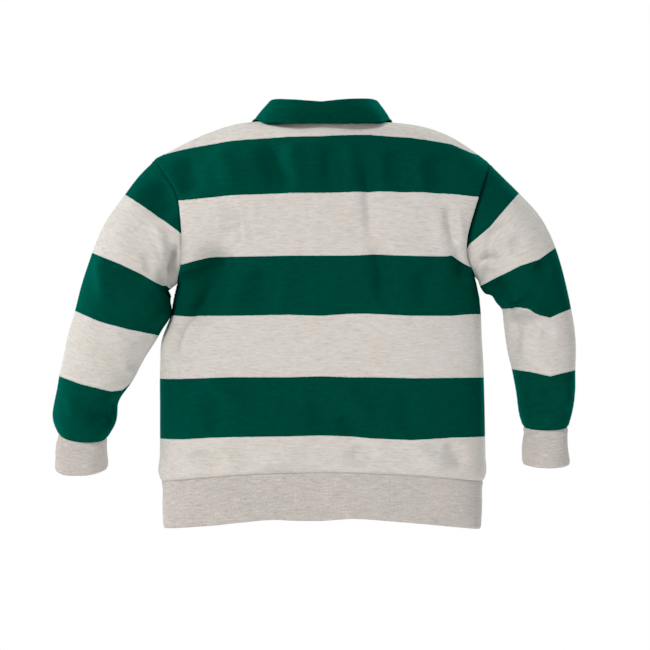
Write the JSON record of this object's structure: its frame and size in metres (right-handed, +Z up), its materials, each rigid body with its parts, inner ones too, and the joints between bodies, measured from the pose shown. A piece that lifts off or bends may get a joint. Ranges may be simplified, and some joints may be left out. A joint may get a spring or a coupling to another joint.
{
  "type": "long-sleeve polo shirt",
  "caption": "Hollow long-sleeve polo shirt in its worn form, with a folded collar, a buttoned placket, ribbed cuffs and a ribbed hem.",
  "frame": {"origin": "on the centre line and the neck's axis, at the height of the collar's lower edge, where the shirt hangs from the wearer's shoulders", "axes": "+Z up towards the collar, -Y the front with the placket, +X the wearer's left sleeve"},
  "size_m": [0.6589, 0.1701, 0.5334],
  "materials": {
    "jersey": "soft matt brushed jersey in broad green and oatmeal stripes",
    "rib": "matt grey-oatmeal rib knit",
    "collar_knit": "matt dark green close knit",
    "placket_cloth": "matt dark green cotton",
    "button": "satin off-white resin"
  },
  "bodies": {
    "root": {"back": "jersey", "front": "jersey", "sleeve_left": "jersey", "sleeve_right": "jersey", "cuff_left": "rib", "cuff_right": "rib", "hem_rib": "rib", "collar": "collar_knit", "placket_top": "placket_cloth", "placket_under": "placket_cloth", "button_1": "button", "button_2": "button", "button_3": "button"}
  },
  "joints": []
}
